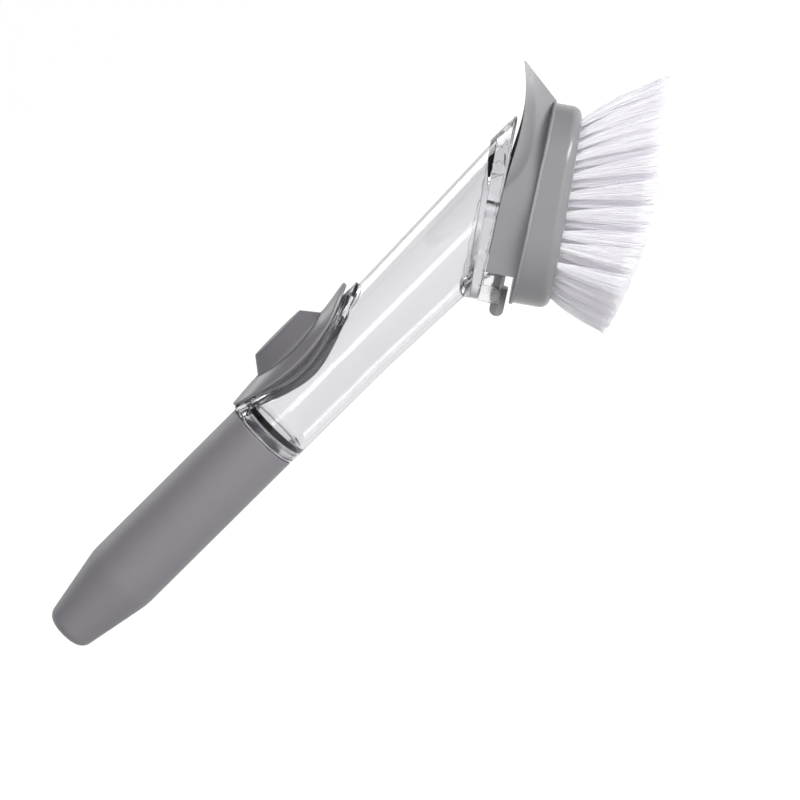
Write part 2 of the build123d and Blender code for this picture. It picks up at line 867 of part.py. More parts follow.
with BuildPart() as brush_block:
    extrude(block_outline(deck(block_face), 0.0), amount=-block_face_height)
    split(bisect_by=rim(0), keep=Keep.TOP)
    face_edges = brush_block.edges().group_by(Axis(head_side.origin, head_side.x_dir))[-1]
    fillet(face_edges, radius=block_edge_rounding)
    extrude(block_outline(deck(block_face), inlay_margin), amount=-inlay_thickness, mode=Mode.SUBTRACT)
    with BuildSketch(deck(block_face - inlay_thickness)):
        with Locations(*places):
            Circle(anchor_hole_radius)
    extrude(amount=-anchor_hole_depth, mode=Mode.SUBTRACT)
    with BuildSketch(deck(block_face)):
        with Locations((outlet_offset, 0)):
            Circle(feed_radius)
    extrude(amount=-block_face_height, mode=Mode.SUBTRACT)

with BuildPart() as tuft_anchors:
    with BuildSketch(deck(block_face - inlay_thickness - anchor_hole_depth)):
        with Locations(*places):
            Rectangle(anchor_thickness, anchor_width)
    extrude(amount=anchor_height)


def strand(root, tip):
    """One bristle strand: a slim three-sided taper from its root to its trimmed end."""
    start = deck(root[0]) * Pos(root[1], root[2]) * RegularPolygon(strand_radius, 3)
    end = deck(tip[0]) * Pos(tip[1], tip[2]) * RegularPolygon(strand_radius, 3)
    return loft([start.face(), end.face()], ruled=True)


strand_solids = [strand(root, tip) for root, tip in strands]

with BuildPart() as bristles:
    inlay_plan = block_outline(deck(block_face - inlay_thickness), inlay_margin + seat_gap)
    extrude(inlay_plan, amount=inlay_thickness)
    with BuildSketch(deck(block_face)):
        with Locations((outlet_offset, 0)):
            Circle(feed_radius - seat_gap)
    extrude(amount=-inlay_thickness, mode=Mode.SUBTRACT)
    add(strand_solids)

os.makedirs("parts", exist_ok=True)

pieces = {
    "handle_grip": handle_grip,
    "handle_core": handle_core,
    "neck_seal": neck_seal,
    "soap_tube": soap_tube,
    "pump_diaphragm": pump_diaphragm,
    "button_bezel": button_bezel,
    "button_cap": button_cap,
    "head_plate": head_plate,
    "outlet_valve": outlet_valve,
    "valve_retainer": valve_retainer,
    "release_latch": release_latch,
    "latch_spring": latch_spring,
    "brush_holder": brush_holder,
    "brush_block": brush_block,
    "tuft_anchors": tuft_anchors,
    "bristles": bristles,
}
for name, piece in pieces.items():
    piece.part.label = name
    export_step(piece.part, f"parts/{name}.step")
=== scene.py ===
import json
from math import ceil, cos, hypot, pi, radians, sin, sqrt

import bmesh
import bpy
import numpy as np
from mathutils import Matrix, Vector


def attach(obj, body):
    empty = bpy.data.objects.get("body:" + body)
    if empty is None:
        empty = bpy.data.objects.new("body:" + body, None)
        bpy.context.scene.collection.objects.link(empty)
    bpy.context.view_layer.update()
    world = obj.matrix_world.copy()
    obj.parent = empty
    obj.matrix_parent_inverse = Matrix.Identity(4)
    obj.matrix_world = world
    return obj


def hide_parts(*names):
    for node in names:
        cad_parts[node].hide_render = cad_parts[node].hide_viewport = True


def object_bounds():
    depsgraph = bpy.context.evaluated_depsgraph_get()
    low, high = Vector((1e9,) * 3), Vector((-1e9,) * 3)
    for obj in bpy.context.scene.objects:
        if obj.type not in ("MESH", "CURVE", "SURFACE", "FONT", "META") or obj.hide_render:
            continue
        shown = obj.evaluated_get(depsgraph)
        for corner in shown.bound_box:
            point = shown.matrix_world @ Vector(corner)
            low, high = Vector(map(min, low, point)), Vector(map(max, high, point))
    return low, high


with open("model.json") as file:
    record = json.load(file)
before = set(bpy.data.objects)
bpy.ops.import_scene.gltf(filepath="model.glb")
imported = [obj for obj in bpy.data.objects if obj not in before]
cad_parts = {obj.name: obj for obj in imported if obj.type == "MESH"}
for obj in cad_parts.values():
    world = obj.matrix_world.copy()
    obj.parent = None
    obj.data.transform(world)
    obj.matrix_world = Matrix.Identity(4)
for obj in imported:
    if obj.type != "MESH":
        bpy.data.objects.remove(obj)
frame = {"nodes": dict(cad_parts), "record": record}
cad_low, cad_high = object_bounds()

# The wand's own directions: along the tube from the handle's free end to the head, up from the
# tube's axis to the button, and aside to the camera. The grip's mount gives the axis.
grip_mount = next(mount for mount in frame["record"]["mounts"] if mount["name"] == "grip_clip")
grip_mount_along = 0.0735
wand_along = -Vector(grip_mount["axis"]).normalized()
wand_aside = Vector((0, -1, 0))
wand_up = wand_aside.cross(wand_along)
wand = Matrix((wand_along, wand_up, wand_aside)).transposed().to_4x4()
wand.translation = Vector(grip_mount["pos_m"]) - grip_mount_along * wand_along

# The camera stands far off with a long lens, a little toward the head and above the wand, and is
# rolled so that the wand climbs across the picture. It aims between the tube and the floor.
aim_along, aim_up = 0.15994, -0.02781
camera_distance = 2.45994
camera_toward_head, camera_rise, camera_roll = radians(9.014), radians(6.720), radians(-45.747)
camera_lens = 284.17
camera_film_width = 36.0
camera_sees_from, camera_sees_to = 0.1, 20.0


def put_in_scene(name, data):
    """Puts a mesh, a lamp or the camera in the scene under its name."""
    thing = bpy.data.objects.new(name, data)
    bpy.context.scene.collection.objects.link(thing)
    return thing


camera = put_in_scene("camera", bpy.data.cameras.new("camera"))
camera.data.lens, camera.data.sensor_width = camera_lens, camera_film_width
camera.data.clip_start, camera.data.clip_end = camera_sees_from, camera_sees_to
camera.matrix_world = (
    wand
    @ Matrix.Translation((aim_along, aim_up, 0))
    @ Matrix.Rotation(camera_toward_head, 4, "Y")
    @ Matrix.Rotation(-camera_rise, 4, "X")
    @ Matrix.Rotation(camera_roll, 4, "Z")
    @ Matrix.Translation((0, 0, camera_distance))
)
bpy.context.scene.camera = camera
bpy.context.scene.view_settings.view_transform = "Standard"

# Light goes through many clear walls, and from filament to white filament many times over, so it
# is followed for more bounces than usual. With fewer, bristles and tube come out too dark.
bounces_in_all = 48
bounces_off_filaments = 40
bounces_through_walls = 24
light_path = bpy.context.scene.cycles
light_path.max_bounces = bounces_in_all
light_path.diffuse_bounces = bounces_off_filaments
light_path.transmission_bounces = bounces_through_walls

# A white studio. The camera sees plain white. Reflections and the clear plastic see white too,
# but for a dark ceiling overhead and a grey screen on the camera's side. The light that falls
# on the object from all round is brightest from below, and fades toward the ceiling.
ceiling_level = 0.2
ceiling_start, ceiling_full = 0.4, 0.7
screen_level = 0.45
screen_full, screen_start = -0.9, -0.25
ambient_low, ambient_high = 0.95, 0.08
ambient_start, ambient_full = -0.1, 0.65


def joined(tree, operation, first, second):
    """The product, or the larger, of two values."""
    node = tree.nodes.new("ShaderNodeMath")
    node.operation = operation
    tree.links.new(first, node.inputs[0])
    tree.links.new(second, node.inputs[1])
    return node.outputs[0]


def fading(tree, source, start, end, start_level, end_level):
    """A value that goes from one level to another while its source goes from start to end."""
    node = tree.nodes.new("ShaderNodeMapRange")
    node.inputs["From Min"].default_value, node.inputs["From Max"].default_value = start, end
    node.inputs["To Min"].default_value, node.inputs["To Max"].default_value = start_level, end_level
    tree.links.new(source, node.inputs["Value"])
    return node.outputs["Result"]


def looked_at(tree):
    """1 where the camera, a reflection or the clear plastic looks, then the camera alone."""
    path = tree.nodes.new("ShaderNodeLightPath")
    camera_looks = path.outputs["Is Camera Ray"]
    camera_or_gloss = joined(tree, "MAXIMUM", camera_looks, path.outputs["Is Glossy Ray"])
    return joined(tree, "MAXIMUM", camera_or_gloss, path.outputs["Is Transmission Ray"]), camera_looks


world = bpy.data.worlds.new("studio")
bpy.context.scene.world = world
world.use_nodes = True
studio = world.node_tree
backdrop = studio.nodes["Background"]
backdrop.inputs["Color"].default_value = (1, 1, 1, 1)
sky_place = studio.nodes.new("ShaderNodeTexCoord")
sky_height = studio.nodes.new("ShaderNodeSeparateXYZ")
studio.links.new(sky_place.outputs["Generated"], sky_height.inputs[0])
ceiling = fading(studio, sky_height.outputs["Z"], ceiling_start, ceiling_full, 1.0, ceiling_level)
screen = fading(studio, sky_height.outputs["Y"], screen_full, screen_start, screen_level, 1.0)
gathered = fading(studio, sky_height.outputs["Z"], ambient_start, ambient_full, ambient_low, ambient_high)
studio_seen, studio_camera = looked_at(studio)
ceiling_and_screen = joined(studio, "MULTIPLY", ceiling, screen)
brightness = studio.nodes.new("ShaderNodeMix")
studio.links.new(studio_seen, brightness.inputs["Factor"])
studio.links.new(gathered, brightness.inputs["A"])
studio.links.new(joined(studio, "MAXIMUM", ceiling_and_screen, studio_camera), brightness.inputs["B"])
studio.links.new(brightness.outputs["Result"], backdrop.inputs["Strength"])

# The floor is a wide sheet of white paper. It glows where it is looked at, so that it is nearly
# as white as the studio, and the light on it adds the rest, so that it keeps the soft shadow.
floor_half = 4.0
floor_corners = [(-1, -1), (1, -1), (1, 1), (-1, 1)]
paper_glow_level, paper_dim_level = 0.96, 0.86
paper_shade, paper_bounce = 0.2, 0.8


def build(name, points, faces):
    """Makes a mesh from points and faces and puts it in the scene."""
    mesh = bpy.data.meshes.new(name)
    mesh.from_pydata(points, [], faces)
    return put_in_scene(name, mesh)


floor = build("floor", [(floor_half * x, floor_half * y, 0) for x, y in floor_corners], [(0, 1, 2, 3)])
floor.location.z = cad_low.z
paper = bpy.data.materials.new("studio_paper")
paper.use_nodes = True
sheet = paper.node_tree
sheet.nodes.clear()
paper_lit = sheet.nodes.new("ShaderNodeBsdfDiffuse")
paper_lit.inputs["Color"].default_value = (paper_shade, paper_shade, paper_shade, 1)
paper_back = sheet.nodes.new("ShaderNodeBsdfDiffuse")
paper_back.inputs["Color"].default_value = (paper_bounce, paper_bounce, paper_bounce, 1)
paper_seen, paper_camera = looked_at(sheet)
paper_level = sheet.nodes.new("ShaderNodeMix")
paper_level.inputs["A"].default_value = paper_dim_level
paper_level.inputs["B"].default_value = paper_glow_level
sheet.links.new(paper_camera, paper_level.inputs["Factor"])
paper_glow = sheet.nodes.new("ShaderNodeEmission")
sheet.links.new(paper_level.outputs["Result"], paper_glow.inputs["Strength"])
paper_sum = sheet.nodes.new("ShaderNodeAddShader")
sheet.links.new(paper_lit.outputs[0], paper_sum.inputs[0])
sheet.links.new(paper_glow.outputs[0], paper_sum.inputs[1])
paper_mix = sheet.nodes.new("ShaderNodeMixShader")
sheet.links.new(paper_seen, paper_mix.inputs["Fac"])
sheet.links.new(paper_back.outputs[0], paper_mix.inputs[1])
sheet.links.new(paper_sum.outputs[0], paper_mix.inputs[2])
paper_out = sheet.nodes.new("ShaderNodeOutputMaterial")
sheet.links.new(paper_mix.outputs[0], paper_out.inputs["Surface"])
floor.data.materials.append(paper)


# Three soft lamps. A long strip on the camera's side, kept out of reflections, lights the front.
# A box lights the head and its bristles, and a rim lamp hangs behind and above the handle.
def softbox(name, direction, distance, size, power):
    """A rectangular soft lamp that hangs in a direction from the wand's middle and faces it."""
    lamp = bpy.data.lights.new(name, "AREA")
    lamp.shape = "RECTANGLE"
    lamp.size, lamp.size_y = size
    lamp.energy = power
    lamp_object = put_in_scene(name, lamp)
    toward = Vector(direction).normalized()
    lamp_object.location = (cad_low + cad_high) / 2 + toward * distance
    lamp_object.rotation_euler = toward.to_track_quat("Z", "Y").to_euler()
    return lamp_object


front_strip = softbox("front_strip", (0.15, -1.0, 0.12), distance=1.3, size=(1.3, 0.3), power=5.0)
front_strip.visible_glossy = False
softbox("head_box", (1.0, -0.85, 0.1), distance=1.3, size=(0.8, 0.4), power=13.0)
softbox("rim_box", (-0.5, 1.2, 1.3), distance=1.4, size=(1.2, 0.6), power=8.0)


# Handle sleeve and cup. The cup is a hard pale moulding whose socket screws on the tube's neck.
# The sleeve is soft-touch rubber, moulded over it with a fine matt grain.
soft_grey = (0.245, 0.234, 0.256)
cup_white = (0.62, 0.61, 0.635)
drift_detail, drift_roughness = 5.0, 0.6
drift_low, drift_high = 0.3, 0.7
smooth_share, matt_share = 0.9, 1.12
grain_detail = 2.0
coat_roughness, sheen_roughness = 0.18, 0.5
edge_samples = 6


def start_finish(name):
    """A new material, its nodes, its shader, and the place of each point in the object."""
    material = bpy.data.materials.new(name)
    material.use_nodes = True
    tree = material.node_tree
    place = tree.nodes.new("ShaderNodeTexCoord").outputs["Object"]
    return material, tree, tree.nodes["Principled BSDF"], place


def cloudy(tree, place, size, detail, roughness=0.5):
    """A cloudy pattern with spots of about one size."""
    noise = tree.nodes.new("ShaderNodeTexNoise")
    noise.inputs["Scale"].default_value = 1 / size
    noise.inputs["Detail"].default_value = detail
    noise.inputs["Roughness"].default_value = roughness
    tree.links.new(place, noise.inputs["Vector"])
    return noise.outputs["Fac"]


def two_tone(tree, pattern, first_shade, second_shade):
    """A colour that drifts between two shades with a pattern."""
    tone = tree.nodes.new("ShaderNodeMix")
    tone.data_type = "RGBA"
    tone.inputs["A"].default_value = (*first_shade, 1)
    tone.inputs["B"].default_value = (*second_shade, 1)
    tree.links.new(pattern, tone.inputs["Factor"])
    return tone.outputs["Result"]


def relief(tree, pattern, height, edge_round):
    """The surface's fine relief after a pattern, on edges that shade as if rounded."""
    bump = tree.nodes.new("ShaderNodeBump")
    bump.inputs["Distance"].default_value = height
    bump.inputs["Strength"].default_value = 1.0
    tree.links.new(pattern, bump.inputs["Height"])
    if edge_round:
        worn_edge = tree.nodes.new("ShaderNodeBevel")
        worn_edge.samples = edge_samples
        worn_edge.inputs["Radius"].default_value = edge_round
        tree.links.new(worn_edge.outputs["Normal"], bump.inputs["Normal"])
    return bump.outputs["Normal"]


def moulded(
    name,
    shade,
    spread,
    roughness,
    grain,
    grain_height,
    drift_size=0.03,
    edge_round=0.0003,
    coat=0.0,
    sheen=0.0,
):
    """A moulded finish: a base shade with a slow drift, an uneven gloss, and a fine surface grain."""
    material, tree, shader, place = start_finish(name)
    drift = cloudy(tree, place, drift_size, drift_detail, drift_roughness)
    darker = [value * (1 - spread) for value in shade]
    lighter = [min(value * (1 + spread), 1.0) for value in shade]
    smooth, matt = roughness * smooth_share, min(roughness * matt_share, 1.0)
    grain_pattern = cloudy(tree, place, grain, grain_detail)
    tree.links.new(two_tone(tree, drift, darker, lighter), shader.inputs["Base Color"])
    tree.links.new(fading(tree, drift, drift_low, drift_high, smooth, matt), shader.inputs["Roughness"])
    tree.links.new(relief(tree, grain_pattern, grain_height, edge_round), shader.inputs["Normal"])
    shader.inputs["Coat Weight"].default_value = coat
    shader.inputs["Coat Roughness"].default_value = coat_roughness
    shader.inputs["Sheen Weight"].default_value = sheen
    shader.inputs["Sheen Roughness"].default_value = sheen_roughness
    return material


def dress(node, material):
    """Gives a CAD node its finish on every face."""
    mesh = frame["nodes"][node].data
    mesh.materials.clear()
    mesh.materials.append(material)


soft_touch = moulded(
    "soft_touch_sleeve",
    soft_grey,
    spread=0.04,
    roughness=0.52,
    grain=0.0004,
    grain_height=0.00003,
    sheen=0.15,
)
dress("handle_grip", soft_touch)
hard_cup = moulded("hard_cup", cup_white, spread=0.04, roughness=0.38, grain=0.0006, grain_height=0.00001)
dress("handle_core", hard_cup)


# Neck seal. A silicone ring lies on the floor of the cup's socket, and the neck squeezes it. A
# little of the light goes into the silicone and comes out again beside where it went in.
silicone_white = (0.72, 0.71, 0.73)
silicone_glow_share, silicone_glow_depth = 0.25, 0.002
silicone = moulded(
    "silicone", silicone_white, spread=0.03, roughness=0.42, grain=0.0008, grain_height=0.00001
)
silicone_shader = silicone.node_tree.nodes["Principled BSDF"]
silicone_shader.inputs["Subsurface Weight"].default_value = silicone_glow_share
silicone_shader.inputs["Subsurface Radius"].default_value = (1, 1, 1)
silicone_shader.inputs["Subsurface Scale"].default_value = silicone_glow_depth
dress("neck_seal", silicone)


# Soap tube. One clear injection moulding, from the threaded neck to the slanted flange, with
# thick polished walls that bend the light at every edge.
clear_tint = (0.985, 0.983, 0.99)
flow_tint_share = 0.985
depth_tint = (0.27, 0.245, 0.335)
clear_refraction = 1.56
clear_edge_round = 0.0005
flow_detail = 1.0


def clear_plastic(name, depth_density, ripple_size, ripple_height, haze):
    """Clear moulded plastic: a faint flow ripple, a haze, and a tint that deepens with the path."""
    material, tree, shader, place = start_finish(name)
    flow = cloudy(tree, place, ripple_size, flow_detail)
    flow_tint = [value * flow_tint_share for value in clear_tint]
    shader.inputs["Transmission Weight"].default_value = 1.0
    shader.inputs["IOR"].default_value = clear_refraction
    tree.links.new(two_tone(tree, flow, flow_tint, clear_tint), shader.inputs["Base Color"])
    tree.links.new(fading(tree, flow, 0.0, 1.0, 0.0, haze), shader.inputs["Roughness"])
    tree.links.new(relief(tree, flow, ripple_height, clear_edge_round), shader.inputs["Normal"])
    depth = tree.nodes.new("ShaderNodeVolumeAbsorption")
    depth.inputs["Color"].default_value = (*depth_tint, 1)
    depth.inputs["Density"].default_value = depth_density
    tree.links.new(depth.outputs["Volume"], tree.nodes["Material Output"].inputs["Volume"])
    return material


clear_wall = clear_plastic(
    "clear_wall", depth_density=52.0, ripple_size=0.02, ripple_height=0.00003, haze=0.02
)
dress("soap_tube", clear_wall)


# Screw thread. A fine ridge winds round the tube's neck, and its mate winds round the wall of the
# cup's socket, half a pitch nearer the handle's end. Each is moulded in one with its wall.
thread_pitch, thread_length = 0.003, 0.0105
neck_thread_start = 0.1008
socket_thread_start = neck_thread_start - thread_pitch / 2
neck_radius, socket_radius = 0.0112, 0.0115
thread_height, thread_root = 0.0002, 0.0001
thread_foot, thread_crest = 0.0011, 0.0006
run_out_turns = 0.125
thread_steps_a_turn = 72
ridge_corners = 4


def wrapped(first, rings, sides, closed=False):
    """Faces that join each ring of points to the next and, if closed, the last to the first."""
    faces = []
    for ring in range(rings if closed else rings - 1):
        here = first + ring * sides
        there = first + (ring + 1) % rings * sides
        for side in range(sides):
            beside = (side + 1) % sides
            faces.append((here + side, here + beside, there + beside, there + side))
    return faces


def thread_ridge(name, start, radius, outward):
    """A right-hand ridge of trapezium section round the tube's axis, run out at both ends."""
    turns = thread_length / thread_pitch
    steps = round(turns * thread_steps_a_turn)
    points = []
    for step in range(steps + 1):
        share = step / steps
        turn = 2 * pi * turns * share
        middle = start + share * thread_length
        run_out = min(1.0, min(share, 1 - share) * turns / run_out_turns)
        crest = radius + outward * thread_height * run_out
        foot = radius - outward * thread_root
        for offset, reach in (
            (-thread_foot / 2, foot),
            (-thread_crest / 2, crest),
            (thread_crest / 2, crest),
            (thread_foot / 2, foot),
        ):
            points.append(wand @ Vector((middle + offset, reach * cos(turn), reach * sin(turn))))
    last = ridge_corners * steps
    ends = [(0, 3, 2, 1), (last, last + 1, last + 2, last + 3)]
    faces = wrapped(0, steps + 1, ridge_corners) + ends
    if outward < 0:
        faces = [(face[0], *face[:0:-1]) for face in faces]
    return build(name, points, faces)


neck_thread = thread_ridge("neck_thread", neck_thread_start, neck_radius, outward=1)
neck_thread.data.materials.append(clear_wall)
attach(neck_thread, "tube")
socket_thread = thread_ridge("socket_thread", socket_thread_start, socket_radius, outward=-1)
socket_thread.data.materials.append(hard_cup)
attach(socket_thread, "handle")


# Pump diaphragm, press button and bezel. Diaphragm and button are grey silicone, and the
# diaphragm's skirt reaches down into the tube, where it shows as a dark crescent. A hard satin
# bezel clamps the diaphragm on the saddle-shaped seat.
button_grey = (0.182, 0.175, 0.19)
bezel_grey = (0.225, 0.217, 0.234)
skirt_centre = 0.1475
skirt_reach, skirt_half_width = 0.0235, 0.0102
skirt_wall = 0.0010
skirt_foot_radius, skirt_root_radius = 0.0111, 0.0160
skirt_steps, skirt_corners = 96, 4
skirt_crease = radians(35)
button_rubber = moulded(
    "button_rubber", button_grey, spread=0.05, roughness=0.42, grain=0.0005, grain_height=0.00002, sheen=0.1
)
dress("pump_diaphragm", button_rubber)
skirt_points = []
for step in range(skirt_steps):
    turn = 2 * pi * step / skirt_steps
    for inset, level in (
        (0, skirt_root_radius),
        (0, skirt_foot_radius),
        (skirt_wall, skirt_foot_radius),
        (skirt_wall, skirt_root_radius),
    ):
        along = skirt_centre + (skirt_reach - inset) * cos(turn)
        aside = (skirt_half_width - inset) * sin(turn)
        skirt_points.append(wand @ Vector((along, sqrt(level**2 - aside**2), aside)))
skirt = build("diaphragm_skirt", skirt_points, wrapped(0, skirt_steps, skirt_corners, closed=True))
skirt.data.polygons.foreach_set("use_smooth", [True] * len(skirt.data.polygons))
skirt.data.set_sharp_from_angle(angle=skirt_crease)
skirt.data.materials.append(button_rubber)
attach(skirt, "tube")
dress("button_cap", button_rubber)
bezel_satin = moulded(
    "bezel_satin", bezel_grey, spread=0.04, roughness=0.34, grain=0.0006, grain_height=0.00001, coat=0.1
)
dress("button_bezel", bezel_satin)


# Head plate with its rail, the outlet valve and the retainer. The plate is the tube's clear
# plastic, welded to the flange, and its cheeks beside the latch are frosted. The valve is white
# silicone under a snap-on ring.
plate_along = 0.230
head_slant = radians(55.0)
flange_thickness = 0.0022
weld_gap = 0.00006
cheek_end, cheek_foot = -0.0135, 0.0052
cheek_slot = 1
head = wand @ Matrix.Translation((plate_along, 0, 0)) @ Matrix.Rotation(-head_slant, 4, "Z")
to_head = head.inverted()


def reshaped_copy(node, name):
    """A copy of a CAD node, bare of its finish, to be reshaped and to stand for the node."""
    mesh = frame["nodes"][node].data.copy()
    mesh.name = name
    mesh.materials.clear()
    return put_in_scene(name, mesh)


clear_plate = reshaped_copy("head_plate", "clear_head_plate")
for vertex in clear_plate.data.vertices:
    on_head = to_head @ vertex.co
    if abs(on_head.x - flange_thickness) < weld_gap:
        vertex.co = head @ Vector((flange_thickness + weld_gap, on_head.y, on_head.z))
clear_plate.data.materials.append(
    clear_plastic("clear_plate", depth_density=14.0, ripple_size=0.005, ripple_height=0.00014, haze=0.02)
)
clear_plate.data.materials.append(
    clear_plastic("clear_cheek", depth_density=14.0, ripple_size=0.003, ripple_height=0.0001, haze=0.45)
)
for polygon in clear_plate.data.polygons:
    on_head = to_head @ polygon.center
    if on_head.y < cheek_end and on_head.x > cheek_foot:
        polygon.material_index = cheek_slot
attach(clear_plate, "tube")
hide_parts("head_plate")
dress("outlet_valve", silicone)
white_ring = moulded(
    "white_ring", silicone_white, spread=0.03, roughness=0.3, grain=0.0008, grain_height=0.00001
)
dress("valve_retainer", white_ring)


# Release latch and leaf spring. The latch is a small satin grey moulding between the cheeks, and
# the spring under it is a strip of bright spring steel.
latch_grey = (0.30, 0.295, 0.31)
steel_dark, steel_bright = (0.5, 0.5, 0.51), (0.68, 0.68, 0.69)
streak_length, streak_width = 0.004, 0.0001
steel_roughness = 0.25
steel_smooth_share, steel_matt_share = 0.7, 1.3
latch_satin = moulded(
    "latch_satin", latch_grey, spread=0.04, roughness=0.36, grain=0.0006, grain_height=0.00001, coat=0.1
)
dress("release_latch", latch_satin)


def drawn_steel(name):
    """Drawn spring steel: bright metal with long fine streaks."""
    material, tree, shader, place = start_finish(name)
    shader.inputs["Metallic"].default_value = 1.0
    stretch = tree.nodes.new("ShaderNodeMapping")
    stretch.inputs["Scale"].default_value = (1 / streak_length, 1 / streak_width, 1 / streak_length)
    tree.links.new(place, stretch.inputs["Vector"])
    streaks = cloudy(tree, stretch.outputs["Vector"], size=1.0, detail=grain_detail)
    smooth, matt = steel_roughness * steel_smooth_share, steel_roughness * steel_matt_share
    tree.links.new(two_tone(tree, streaks, steel_dark, steel_bright), shader.inputs["Base Color"])
    tree.links.new(fading(tree, streaks, 0.0, 1.0, smooth, matt), shader.inputs["Roughness"])
    return material


spring_steel = drawn_steel("spring_steel")
dress("latch_spring", spring_steel)


# Brush holder. A grey satin channel slides onto the rail, and its rim carries the brush block.
# Its skirts run out to a pointed scraper horn, and a shallow scoop is pressed into each flank,
# under a crease that climbs toward the horn.
holder_grey = (0.285, 0.285, 0.297)
scoop_start, scoop_length = 0.0175, 0.047
scoop_foot, scoop_brow = 0.0066, 0.0158
scoop_peak_share, scoop_fall_share = 0.42, 0.55
scoop_climb_power = 0.8
scoop_depth, scoop_wall_run = 0.0013, 0.0045
scoop_full_aside = 0.008
scoop_cell, scoop_rounds = 0.0012, 6
flank_lean, flank_tilt = 0.35, 0.7
same_point = 0.000001
holder_crease = radians(26)


def scoop_line(toward_horn):
    """The crease over the scoop: it climbs from the skirt's edge, and sinks toward the horn's tip."""
    share = (toward_horn - scoop_start) / scoop_length
    if not 0.0 < share < 1.0:
        return scoop_foot
    climb = min(share / scoop_peak_share, 1.0)
    fall = max((share - scoop_peak_share) / (1 - scoop_peak_share), 0.0)
    rise = sin(climb * pi / 2) ** scoop_climb_power - scoop_fall_share * fall**2
    return scoop_foot + (scoop_brow - scoop_foot) * rise


def on_flank(face):
    """Whether a face is on a skirt's outer flank, within reach of the scoop."""
    middle = to_head @ face.calc_center_median()
    outward = to_head.to_3x3() @ face.normal
    beside = outward.z * (1 if middle.z > 0 else -1) > flank_lean
    return beside and abs(outward.x) < flank_tilt


holder = reshaped_copy("brush_holder", "scooped_holder")
holder_form = bmesh.new()
holder_form.from_mesh(holder.data)
bmesh.ops.remove_doubles(holder_form, verts=holder_form.verts, dist=same_point)
for _ in range(scoop_rounds):
    flank_faces = [face for face in holder_form.faces if on_flank(face)]
    flank_edges = dict.fromkeys(edge for face in flank_faces for edge in face.edges)
    long_edges = [edge for edge in flank_edges if edge.calc_length() > scoop_cell]
    if not long_edges:
        break
    bmesh.ops.subdivide_edges(holder_form, edges=long_edges, cuts=1)
    bmesh.ops.triangulate(holder_form, faces=[face for face in holder_form.faces if len(face.verts) > 3])
flank_faces = [face for face in holder_form.faces if on_flank(face)]
for vertex in dict.fromkeys(vertex for face in flank_faces for vertex in face.verts):
    on_head = to_head @ vertex.co
    under_brow = scoop_line(on_head.y) - on_head.x
    if under_brow > 0 and abs(on_head.z) > scoop_depth:
        depth = scoop_depth * (1 - (1 - min(under_brow / scoop_wall_run, 1.0)) ** 2)
        depth *= min(abs(on_head.z) / scoop_full_aside, 1.0)
        pressed_in = on_head.z - depth * (1 if on_head.z > 0 else -1)
        vertex.co = head @ Vector((on_head.x, on_head.y, pressed_in))
holder_form.to_mesh(holder.data)
holder_form.free()
holder.data.set_sharp_from_angle(angle=holder_crease)
holder_satin = moulded(
    "holder_satin", holder_grey, spread=0.03, roughness=0.38, grain=0.0007, grain_height=0.00001, coat=0.06
)
holder.data.materials.append(holder_satin)
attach(holder, "head")
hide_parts("brush_holder")


# Brush block and tuft anchors. The block is a glossier grey moulding with a rolled edge, and a
# bright steel anchor holds each tuft at the bottom of its hole.
block_grey = (0.245, 0.245, 0.256)
block_gloss = moulded(
    "block_gloss", block_grey, spread=0.03, roughness=0.24, grain=0.0009, grain_height=0.00001, coat=0.3
)
dress("brush_block", block_gloss)
dress("tuft_anchors", spring_steel)


# Bristles. Each tuft is a bundle of white nylon filaments that is folded round its anchor. The
# tufts fan out from staggered rows, and all are trimmed to one crowned surface. A faint glow
# stands for the light that the nylon passes on from filament to filament.
block_face = 0.0332
block_length, block_offset = 0.0794, 0.0123
block_near_radius, block_far_radius = 0.028, 0.0225
near_centre = block_offset - block_length / 2 + block_near_radius
far_centre = block_offset + block_length / 2 - block_far_radius
inlay_margin, tuft_margin = 0.0044, 0.0015
tuft_pitch, row_pitch = 0.00735, 0.0052
tuft_radius = 0.00135
outlet_offset, feed_radius = 0.008, 0.004
bristle_height = 0.0344
crown_offset = 0.028
crown_far, crown_near, crown_across = 0.278, 0.167, 0.150
fan_share, fan_offset = 0.48, -0.0018
fan_overhang, fan_half_width = 0.0024, 0.0337
filaments_a_tuft = 130
filament_rings, filament_sides = 7, 4
filament_radius, filament_tip = 0.00014, 0.00011
taper_power, opening_power = 3, 0.85
root_depth, root_share = 0.0012, 0.9
tip_spread, tip_wander = 0.0042, 0.00035
tip_shortness = 0.0004
filament_bow = 0.00025
filament_white = (0.982, 0.972, 0.997)
filament_glow = 0.03
no_distance = 0.000001
draw_seed = 7
draw = np.random.default_rng(draw_seed)


def inlay_radius(share):
    """How far from the block's middle line a tuft may stand, a share of the way to its narrow end."""
    return block_near_radius + share * (block_far_radius - block_near_radius) - inlay_margin - tuft_margin


def on_inlay(along, aside):
    """Whether a tuft's place lies on the inlay, clear of its edge."""
    span = far_centre - near_centre
    share = min(max((along - near_centre) / span, 0.0), 1.0)
    return hypot(along - near_centre - share * span, aside) <= inlay_radius(share)


def within_fan(along, aside):
    """Draws the tips that would stand out past the outermost tufts back to the fan's outline."""
    near = near_centre + fan_share * (near_centre - fan_offset)
    far = far_centre + fan_share * (far_centre - fan_offset)
    share = np.clip((along - near) / (far - near), 0.0, 1.0)
    reach = inlay_radius(share) * (1 + fan_share) + fan_overhang
    centre = near + share * (far - near)
    out = np.hypot(along - centre, aside)
    pull = np.minimum(reach / np.maximum(out, no_distance), 1.0)
    return centre + (along - centre) * pull, np.clip(aside * pull, -fan_half_width, fan_half_width)


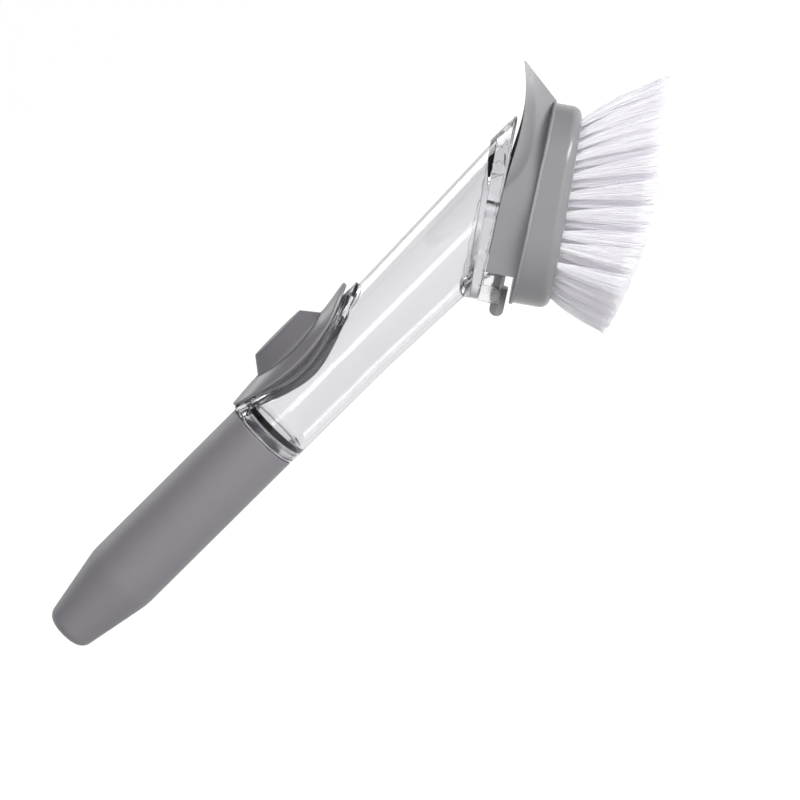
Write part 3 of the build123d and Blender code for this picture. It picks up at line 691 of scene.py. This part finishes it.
def trimmed_height(along, aside):
    """The height off the flange of the surface that the filaments are trimmed to."""
    crown_along = np.where(along > crown_offset, crown_far, crown_near)
    drop = (along - crown_offset) ** 2 / (2 * crown_along) + aside**2 / (2 * crown_across)
    return block_face + bristle_height - drop


tufts = []
rows, columns = ceil(block_near_radius / row_pitch), ceil(block_length / tuft_pitch)
for row in range(-rows, rows + 1):
    for column in range(-columns, columns + 1):
        tuft_along = outlet_offset + column * tuft_pitch + (tuft_pitch / 2 if row % 2 else 0.0)
        tuft_aside = row * row_pitch
        beside_outlet = hypot(tuft_along - outlet_offset, tuft_aside) >= feed_radius
        if on_inlay(tuft_along, tuft_aside) and beside_outlet:
            tufts.append((tuft_along, tuft_aside))

rings = np.linspace(0.0, 1.0, filament_rings)
opening, bowing = rings**opening_power, np.sin(pi * rings)
thickness = filament_radius + (filament_tip - filament_radius) * rings**taper_power
root_height = block_face - root_depth
filament_points, filament_faces = [], []
for tuft_along, tuft_aside in tufts:
    turn = draw.uniform(0, 2 * pi, filaments_a_tuft)
    out = np.sqrt(draw.uniform(0, 1, filaments_a_tuft))
    shift_along, shift_aside = out * np.cos(turn), out * np.sin(turn)
    root_along = tuft_along + tuft_radius * root_share * shift_along
    root_aside = tuft_aside + tuft_radius * root_share * shift_aside
    fanned_along = tuft_along + fan_share * (tuft_along - fan_offset)
    fanned_aside = tuft_aside * (1 + fan_share)
    wander = draw.normal(0, tip_wander, (2, filaments_a_tuft))
    tip_along, tip_aside = within_fan(
        fanned_along + tip_spread * shift_along + wander[0],
        fanned_aside + tip_spread * shift_aside + wander[1],
    )
    shortness = np.abs(draw.normal(0, tip_shortness, filaments_a_tuft))
    tip_height = trimmed_height(tip_along, tip_aside) - shortness
    bow = draw.normal(0, filament_bow, (2, filaments_a_tuft))
    for k in range(filaments_a_tuft):
        along = root_along[k] + (tip_along[k] - root_along[k]) * opening + bow[0, k] * bowing
        aside = root_aside[k] + (tip_aside[k] - root_aside[k]) * opening + bow[1, k] * bowing
        height = root_height + (tip_height[k] - root_height) * rings
        first = len(filament_points)
        for ring in range(filament_rings):
            for side in range(filament_sides):
                angle = 2 * pi * side / filament_sides
                side_along = along[ring] + thickness[ring] * cos(angle)
                side_aside = aside[ring] + thickness[ring] * sin(angle)
                filament_points.append((height[ring], side_along, side_aside))
        filament_faces += wrapped(first, filament_rings, filament_sides)
        last = first + (filament_rings - 1) * filament_sides
        filament_faces.append(tuple(last + side for side in range(filament_sides)))
in_scene = np.array(filament_points) @ np.array(head.to_3x3()).T + np.array(head.translation)
filaments = build("bristle_filaments", in_scene.tolist(), filament_faces)
filaments.data.polygons.foreach_set("use_smooth", [True] * len(filaments.data.polygons))
nylon = moulded(
    "nylon_filament",
    filament_white,
    spread=0.004,
    roughness=0.4,
    grain=0.0009,
    grain_height=0.000005,
    drift_size=0.004,
    edge_round=0.0,
)
nylon_shader = nylon.node_tree.nodes["Principled BSDF"]
nylon_shader.inputs["Emission Color"].default_value = (*filament_white, 1)
nylon_shader.inputs["Emission Strength"].default_value = filament_glow
filaments.data.materials.append(nylon)
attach(filaments, "head")
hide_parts("bristles")
